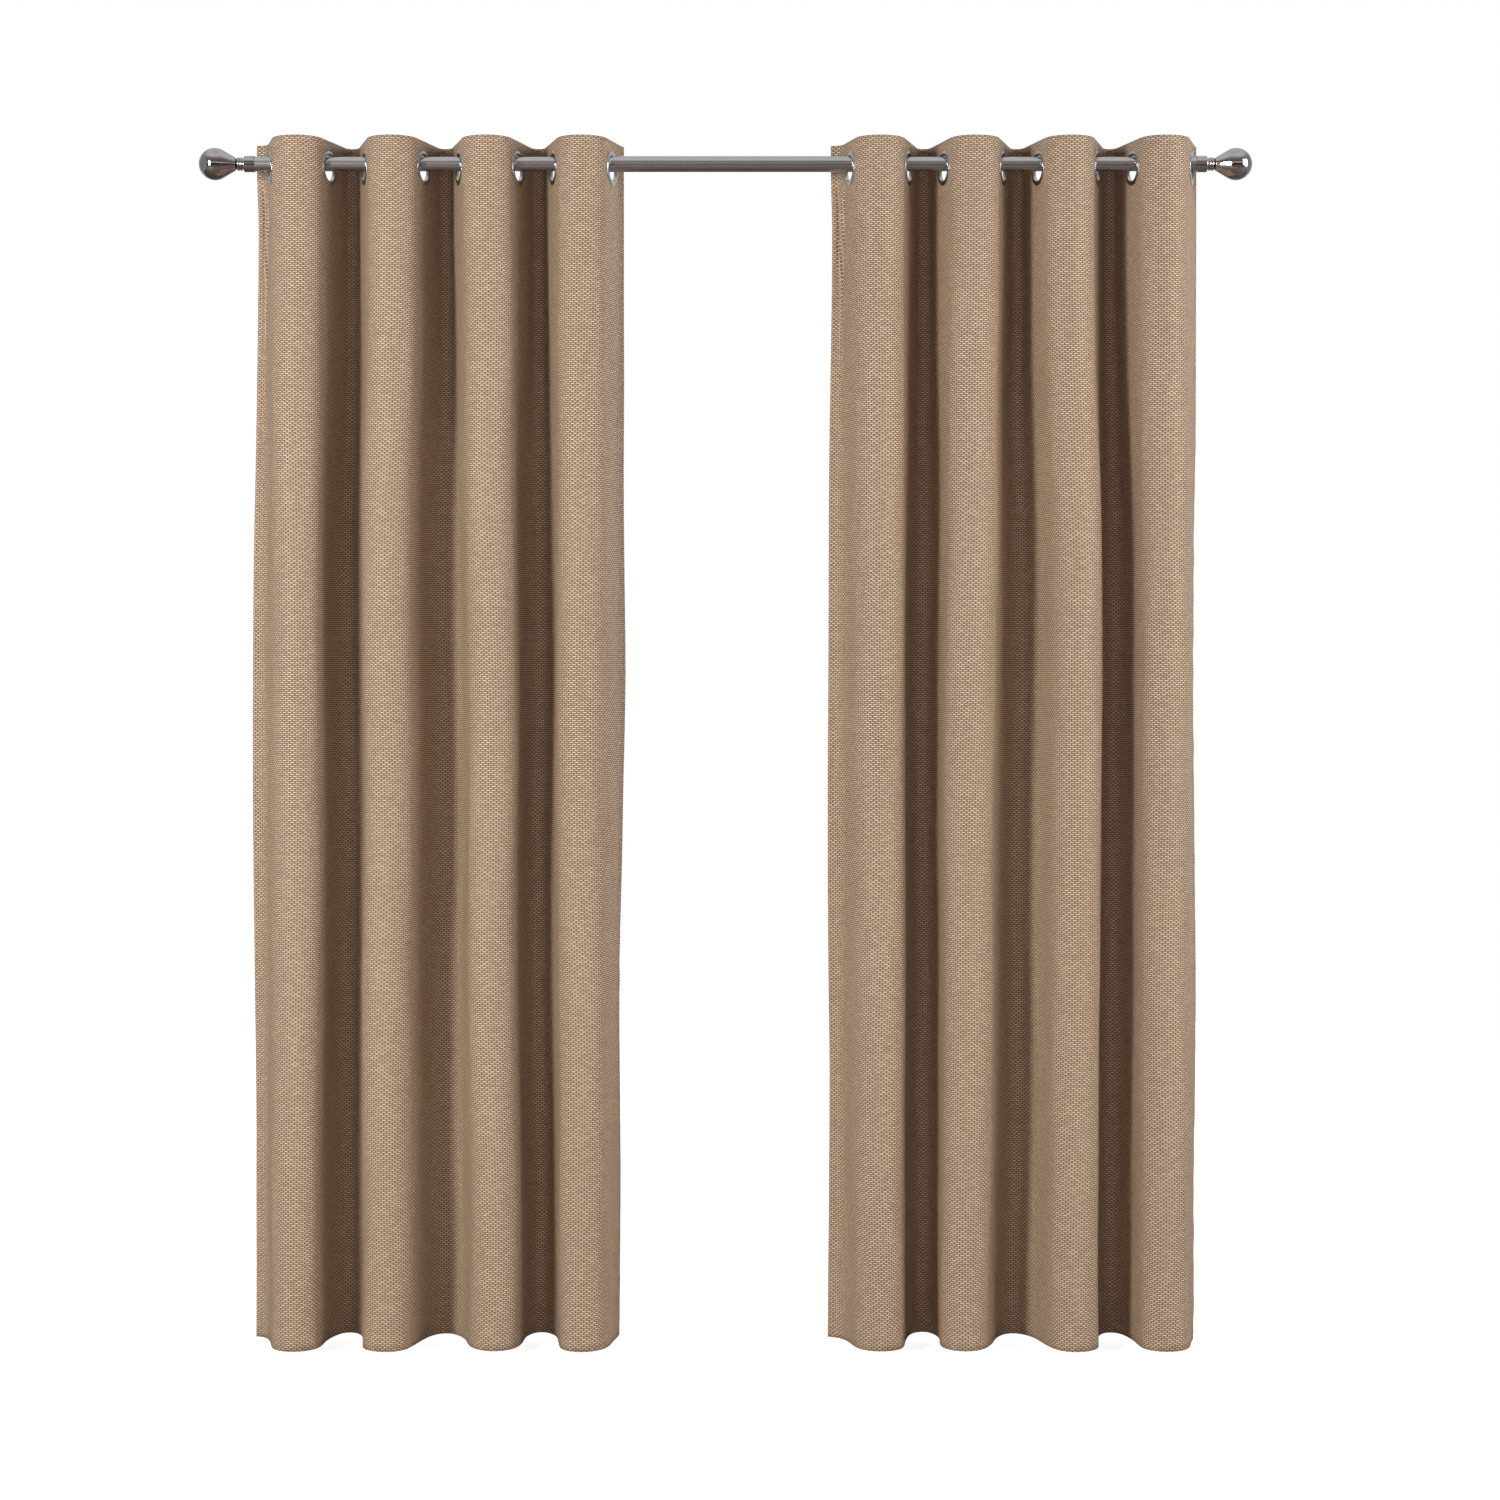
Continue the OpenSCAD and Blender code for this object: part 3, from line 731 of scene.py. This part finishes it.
def flat_sheet(v_stops):
    """Flat points (u, v), quads, the outer edge's loop and the holes' loops of a sheet."""
    us, patch_cols = [0.0], []
    us += stretch(0, ring_u[0] - PATCH_HALF, EDGE_CELLS)
    for k, at in enumerate(ring_u):
        patch_cols.append(len(us) - 1)
        us += stretch(at - PATCH_HALF, at + PATCH_HALF, PATCH_CELLS)
        if k < RING_COUNT - 1:
            us += stretch(at + PATCH_HALF, ring_u[k + 1] - PATCH_HALF, FOLD_CELLS)
    us += stretch(ring_u[-1] + PATCH_HALF, PANEL_W, EDGE_CELLS)
    vs, patch_row = v_stops
    columns = len(us)
    points = [(u, v) for v in vs for u in us]
    keep = np.ones((len(vs) - 1, columns - 1), bool)
    for c in patch_cols:
        keep[patch_row : patch_row + PATCH_CELLS, c : c + PATCH_CELLS] = False
    faces = [
        (j * columns + i, (j + 1) * columns + i, (j + 1) * columns + i + 1, j * columns + i + 1)
        for j in range(len(vs) - 1)
        for i in range(columns - 1)
        if keep[j, i]
    ]
    holes = []
    for k, c in enumerate(patch_cols):
        middle = np.array([ring_u[k], EYELET_DROP])
        n = PATCH_CELLS
        walk = (
            [(patch_row, c + i) for i in range(n)]
            + [(patch_row + i, c + n) for i in range(n)]
            + [(patch_row + n, c + n - i) for i in range(n)]
            + [(patch_row + n - i, c) for i in range(n)]
        )
        outer = [j * columns + i for j, i in walk]
        for step in range(1, PATCH_RINGS + 1):
            share = step / PATCH_RINGS
            inner = []
            for j, i in walk:
                square = np.array([us[i], vs[j]]) - middle
                spot = middle + square * (1 - share) + square / np.linalg.norm(square) * HOLE_R * share
                inner.append(len(points))
                points.append(tuple(spot))
            for a in range(4 * n):
                b = (a + 1) % (4 * n)
                faces.append((outer[a], inner[a], inner[b], outer[b]))
            outer = inner
        holes.append(outer)
    last = len(vs) - 1
    edge = (
        list(range(columns))
        + [j * columns + columns - 1 for j in range(1, last + 1)]
        + [last * columns + i for i in range(columns - 2, -1, -1)]
        + [j * columns for j in range(last - 1, 0, -1)]
    )
    return np.array(points), faces, edge, holes


TOP_CELLS = 3
LONG_CELL = 0.014


def header_stops():
    """Stops down the sheet to the foot of the patches, and the row where the patches start."""
    top = [0.0] + stretch(0, EYELET_DROP - PATCH_HALF, TOP_CELLS)
    patch = stretch(EYELET_DROP - PATCH_HALF, EYELET_DROP + PATCH_HALF, PATCH_CELLS)
    return top + patch, TOP_CELLS


def curtain_stops():
    """The header's stops, and even ones from there to the hem."""
    vs, row = header_stops()
    return vs + stretch(vs[-1], PANEL_H, round((PANEL_H - vs[-1]) / LONG_CELL)), row


def ring_share(side, u):
    """Share of the leading ring's travel that the cloth at u makes: each ring's own coupling."""
    ratios = {c["joint"]: c["ratio"] for c in frame["record"]["behaviour"]["couplings"]}
    shares = [ratios.get(f"{side}_ring_{k}_slide", 1.0) for k in range(1, RING_COUNT + 1)]
    at, value = [], []
    for middle, share in zip(ring_u, shares):
        at += [middle - PATCH_HALF, middle + PATCH_HALF]
        value += [share, share]
    return np.interp(u, at, value)


def follow_rings(piece, side, u):
    """Bakes the piece's placing into its mesh, and works out each point's share of its rings' travel."""
    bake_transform(piece)
    shares = ring_share(side, u).astype(np.float32)


EDGE_TURN = 0.0005  # how far a turned side edge rounds outwards


def sheet_piece(name, panel, stops, near, far):
    """A closed thin sheet between two distances behind the cloth's back face, with turned edges."""
    flat, faces, edge, holes = flat_sheet(stops)
    u, v = flat[:, 0], flat[:, 1]
    count = len(flat)
    front = panel.place(u, v, near(u, v))
    back = panel.place(u, v, far(u, v))
    edge_u, edge_v = u[edge], v[edge]
    rim = panel.place(edge_u, edge_v, (near(edge_u, edge_v) + far(edge_u, edge_v)) / 2)
    outward = np.where(edge_u < 1e-6, -1, np.where(edge_u > PANEL_W - 1e-6, 1, 0)) * EDGE_TURN
    h = panel.read(panel.heading, edge_u, edge_v)
    rim += outward[:, None] * np.stack([np.cos(h), np.sin(h), np.zeros_like(h)], axis=-1)
    points = np.concatenate([front, back, rim])
    quads = list(faces) + [tuple(count + i for i in reversed(f)) for f in faces]
    for n in range(len(edge)):
        m = (n + 1) % len(edge)
        a, b = edge[n], edge[m]
        quads.append((a, b, 2 * count + m, 2 * count + n))
        quads.append((2 * count + n, 2 * count + m, count + b, count + a))
    for loop in holes:
        for n in range(len(loop)):
            a, b = loop[n], loop[(n + 1) % len(loop)]
            quads.append((b, a, count + a, count + b))
    mesh = bpy.data.meshes.new(name)
    mesh.from_pydata(points.tolist(), [], quads)
    flat_all = np.concatenate([flat, flat, flat[edge]])
    layer = mesh.uv_layers.new(name="flat")
    corner = np.zeros(len(mesh.loops), np.int32)
    mesh.loops.foreach_get("vertex_index", corner)
    layer.data.foreach_set("uv", flat_all[corner].astype(np.float32).ravel())
    mesh.shade_smooth()
    piece = bpy.data.objects.new(name, mesh)
    scene.collection.objects.link(piece)
    follow_rings(piece, panel.side, flat_all[:, 0])
    return piece


HEM_W = 0.025  # width of the doubled side hem
HEM_H = 0.060  # height of the doubled bottom hem
HEM_EXTRA = 0.0011  # what the doubled cloth adds behind
SIDE_STEP = 0.003  # width over which the doubled side hem thins
LOW_STEP = 0.006
TOP_STEP = 0.01

# Weave: two-yarn weft floats in brick order over a darker warp. It reads as short pale dashes, pale partly
# from the yarn's own colour and partly from a painted highlight that stands for the floats' glints.
FLOAT_PITCH = 9.6  # mm from one float to the next in a row
ROW_PITCH = 3.5  # mm from row to row
FLOAT_END = 2.6  # mm of warp shown at each end of a float
FLOAT_SIDE = 1.3  # mm of warp shown above and below it
YARN_SPOTS = (900, 1400, 1)  # uneven places of the yarn in a metre, across and down
DYE_SPOTS = (14, 3, 1)


def basket_weave(name, ground, pale_float_painted_glint, deeper_float_painted_glint):
    """Spun polyester basket weave: matt warp, slightly glossy weft floats whose pale colour is partly yarn
    colour and partly painted highlight, and soft uneven dye.
    """
    made, tree, shader = start_material(name)
    flat = add_node(tree, "ShaderNodeUVMap", uv_map="flat")
    squeeze = FLOAT_SIDE / FLOAT_END  # the pattern needs one joint width for both ways
    lie = add_node(
        tree, "ShaderNodeMapping", {"Scale": (1000 * squeeze, 1000, 1)}, {"Vector": flat.outputs["UV"]}
    )
    # The two float colours hold a painted highlight of the floats' glints as well as the yarn's own colour.
    weave = add_node(
        tree, "ShaderNodeTexBrick",
        {
            "Color1": paint(pale_float_painted_glint), "Color2": paint(deeper_float_painted_glint), "Mortar": paint(ground),
            "Scale": 1.0, "Mortar Size": FLOAT_SIDE, "Mortar Smooth": 0.9, "Bias": 0.0,
            "Brick Width": FLOAT_PITCH * squeeze, "Row Height": ROW_PITCH,
        },
        {"Vector": lie.outputs["Vector"]},
        offset=0.5, offset_frequency=2,
    )
    thread_lie = add_node(
        tree, "ShaderNodeMapping", {"Scale": YARN_SPOTS}, {"Vector": flat.outputs["UV"]}
    )
    thread = add_node(
        tree, "ShaderNodeTexNoise", {"Scale": 1.0, "Detail": 3.0, "Roughness": 0.6},
        {"Vector": thread_lie.outputs["Vector"]},
    )
    dye_lie = add_node(
        tree, "ShaderNodeMapping", {"Scale": DYE_SPOTS}, {"Vector": flat.outputs["UV"]}
    )
    dye = add_node(
        tree, "ShaderNodeTexNoise", {"Scale": 1.0, "Detail": 2.0}, {"Vector": dye_lie.outputs["Vector"]}
    )
    thread_tone = add_node(
        tree, "ShaderNodeMapRange", {"To Min": 0.90, "To Max": 1.10}, {"Value": thread.outputs["Fac"]}
    )
    dye_tone = add_node(
        tree, "ShaderNodeMapRange", {"To Min": 0.96, "To Max": 1.04}, {"Value": dye.outputs["Fac"]}
    )
    tone = add_node(
        tree, "ShaderNodeMath", links={0: thread_tone.outputs[0], 1: dye_tone.outputs[0]},
        operation="MULTIPLY",
    )
    tinted = add_node(
        tree, "ShaderNodeVectorMath", links={0: weave.outputs["Color"], 1: tone.outputs[0]},
        operation="MULTIPLY",
    )
    gloss = add_node(
        tree, "ShaderNodeMapRange", {"To Min": 0.38, "To Max": 0.80}, {"Value": weave.outputs["Fac"]}
    )
    rise = add_node(
        tree, "ShaderNodeMath", {1: 0.35}, {0: thread.outputs["Fac"], 2: weave.outputs["Fac"]},
        operation="MULTIPLY_ADD",
    )
    bump = add_node(
        tree, "ShaderNodeBump", {"Strength": 0.7, "Distance": 0.0009},
        {"Height": rise.outputs[0]}, invert=True,
    )
    tree.links.new(tinted.outputs["Vector"], shader.inputs["Base Color"])
    tree.links.new(gloss.outputs["Result"], shader.inputs["Roughness"])
    tree.links.new(bump.outputs["Normal"], shader.inputs["Normal"])
    shader.inputs["Specular IOR Level"].default_value = 0.6
    shader.inputs["Sheen Weight"].default_value = 0.12
    shader.inputs["Sheen Roughness"].default_value = 0.5
    shader.inputs["Sheen Tint"].default_value = paint("#c9a27c")
    return made


def hem_back(u, v):
    """Distance of the cloth's back face behind its line: thicker where the hem is doubled."""
    beside = np.minimum(u, PANEL_W - u)
    side = 1 - ease((beside - HEM_W + SIDE_STEP) / SIDE_STEP)
    low = ease((v - PANEL_H + HEM_H) / LOW_STEP)
    below = ease((v - HEADER_H) / TOP_STEP)
    return HEM_EXTRA * np.maximum(side * below, low)


# The float colours are partly yarn colour and partly painted highlight of the floats' glints.
cloth = basket_weave("basket_weave_cloth", "#6c5745", "#d6c2a6", "#bca68b")
panels = {side: Panel(side, seed) for side, seed in (("left", 11), ("right", 12))}
for side in SIDES:
    piece = sheet_piece(
        f"curtain_cloth_{side}", panels[side], curtain_stops(),
        lambda u, v: np.full_like(u, -CLOTH_T), hem_back,
    )
    piece.data.materials.append(cloth)
    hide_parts(f"curtain_{side}")

# ---------------------------------------------------------------------------------------------
# Header bands: a strip of stiff canvas behind the top of each curtain, caught by the eyelets. It
# keeps the top upright and makes the waves even.

BAND_H = 0.088
BAND_GAP = 0.00005  # cloth to band
WASHER_GAP = 0.00002  # band to the back halves of the eyelets
FOOT_CELLS = 2
CANVAS_THREADS = 700  # in a metre


def band_stops():
    """The header's stops, and a few more to the band's lower edge."""
    vs, row = header_stops()
    return vs + stretch(vs[-1], BAND_H, FOOT_CELLS), row


def canvas(name):
    """Stiffened plain-weave canvas, undyed and matt."""
    made, tree, shader = start_material(name)
    flat = add_node(tree, "ShaderNodeUVMap", uv_map="flat")
    lie = add_node(
        tree, "ShaderNodeMapping", {"Scale": (CANVAS_THREADS, CANVAS_THREADS, 1)},
        {"Vector": flat.outputs["UV"]},
    )
    cross = add_node(
        tree, "ShaderNodeTexBrick",
        {
            "Color1": paint("#b8a78c"), "Color2": paint("#a99a80"), "Mortar": paint("#8f8069"),
            "Scale": 1.0, "Mortar Size": 0.12, "Mortar Smooth": 0.8, "Brick Width": 1.0,
            "Row Height": 0.8,
        },
        {"Vector": lie.outputs["Vector"]},
    )
    bump = add_node(
        tree, "ShaderNodeBump", {"Strength": 0.5, "Distance": 0.0003},
        {"Height": cross.outputs["Fac"]}, invert=True,
    )
    tree.links.new(cross.outputs["Color"], shader.inputs["Base Color"])
    tree.links.new(bump.outputs["Normal"], shader.inputs["Normal"])
    shader.inputs["Roughness"].default_value = 0.9
    return made


band_canvas = canvas("stiff_canvas")
for side in SIDES:
    piece = sheet_piece(
        f"stiff_band_{side}", panels[side], band_stops(),
        lambda u, v: np.full_like(u, BAND_GAP), lambda u, v: np.full_like(u, BAND_T - WASHER_GAP),
    )
    piece.data.materials.append(band_canvas)
    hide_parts(f"header_band_{side}")

# ---------------------------------------------------------------------------------------------
# Stitching: two rows down each side hem, which show as dashed lines, and one row along the band
# and the bottom hem behind. Each stitch is a short length of twisted thread that dips at its ends.

STITCH_PITCH = 0.0056
STITCH_LEN = 0.0040
THREAD_R = 0.0006
SIDE_ROWS = (0.007, 0.018)
SEAM_INSET = 0.004
SIDE_SEAM_FOOT = 0.006  # hem's lower edge to the end of a side seam
HEM_SEAM_DROP = 0.008  # top of the bottom hem to its seam
THREAD_SIDES = 5
TAPER = 0.45  # thickness of a stitch where it dips in
# Places along a stitch, in stitch lengths, and the rise of its middle there, in thread radii.
STITCH_ARCH = ((-0.5, -0.2), (-0.3, 0.75), (0.0, 1.0), (0.3, 0.75), (0.5, -0.2))


def stitches(name, panel, runs, thread_paint):
    """One mesh of stitches along flat runs of (start, end, distance behind, sign of the rise)."""
    points, faces, across_u = [], [], []
    for start, end, behind, rise in runs:
        start, end = np.array(start), np.array(end)
        length = np.linalg.norm(end - start)
        way = (end - start) / length
        side_way = np.array([-way[1], way[0]])
        count = int(length / STITCH_PITCH)
        middles = start + way * ((np.arange(count) + 0.5) * length / count)[:, None]
        first = sum(len(p) for p in points)
        for t, lift in STITCH_ARCH:
            for a in range(THREAD_SIDES):
                turn = 2 * math.pi * a / THREAD_SIDES
                thick = THREAD_R * (1 if abs(t) < 0.4 else TAPER)
                spot = middles + way * t * STITCH_LEN + side_way * thick * math.cos(turn)
                d = behind + rise * THREAD_R * (lift + 0.9 * thick / THREAD_R * math.sin(turn))
                points.append(panel.place(spot[:, 0], spot[:, 1], np.full(count, d)))
                across_u.append(spot[:, 0])
        for n in range(count):
            at = [
                [first + (r * THREAD_SIDES + a) * count + n for a in range(THREAD_SIDES)]
                for r in range(len(STITCH_ARCH))
            ]
            for near, far in zip(at, at[1:]):
                for a in range(THREAD_SIDES):
                    b = (a + 1) % THREAD_SIDES
                    faces.append((near[a], near[b], far[b], far[a]))
            faces.append(tuple(at[0]))
            faces.append(tuple(reversed(at[-1])))
    mesh = bpy.data.meshes.new(name)
    mesh.from_pydata(np.concatenate(points).tolist(), [], faces)
    fixed = bmesh_of(mesh)
    bmesh.ops.recalc_face_normals(fixed, faces=fixed.faces)
    fixed.to_mesh(mesh)
    fixed.free()
    mesh.shade_smooth()
    mesh.materials.append(thread_paint)
    piece = bpy.data.objects.new(name, mesh)
    scene.collection.objects.link(piece)
    follow_rings(piece, panel.side, np.concatenate(across_u))
    return piece


TWISTS = 1500.0  # in a metre of thread


def spun_thread(name, light, dark):
    """Spun polyester sewing thread, matt with a faint twist."""
    made, tree, shader = start_material(name)
    at = add_node(tree, "ShaderNodeTexCoord")
    twist = add_node(
        tree, "ShaderNodeTexNoise", {"Scale": TWISTS, "Detail": 2.0}, {"Vector": at.outputs["Object"]}
    )
    tone = add_node(tree, "ShaderNodeValToRGB", links={"Fac": twist.outputs["Fac"]})
    set_stops(tone, [(0.3, dark), (0.7, light)])
    tree.links.new(tone.outputs["Color"], shader.inputs["Base Color"])
    shader.inputs["Roughness"].default_value = 0.7
    return made


thread_paint = spun_thread("sewing_thread", "#dcc5a3", "#b39a78")
for side in SIDES:
    runs = []
    for inset in SIDE_ROWS:
        for u in (inset, PANEL_W - inset):
            runs.append(((u, SEAM_INSET), (u, PANEL_H - SIDE_SEAM_FOOT), -CLOTH_T, -1))
    seams = ((BAND_H - SEAM_INSET, BAND_T), (PANEL_H - HEM_H + HEM_SEAM_DROP, HEM_EXTRA))
    for v, behind in seams:
        runs.append(((SEAM_INSET, v), (PANEL_W - SEAM_INSET, v), behind, 1))
    stitches(f"hem_stitches_{side}", panels[side], runs, thread_paint)
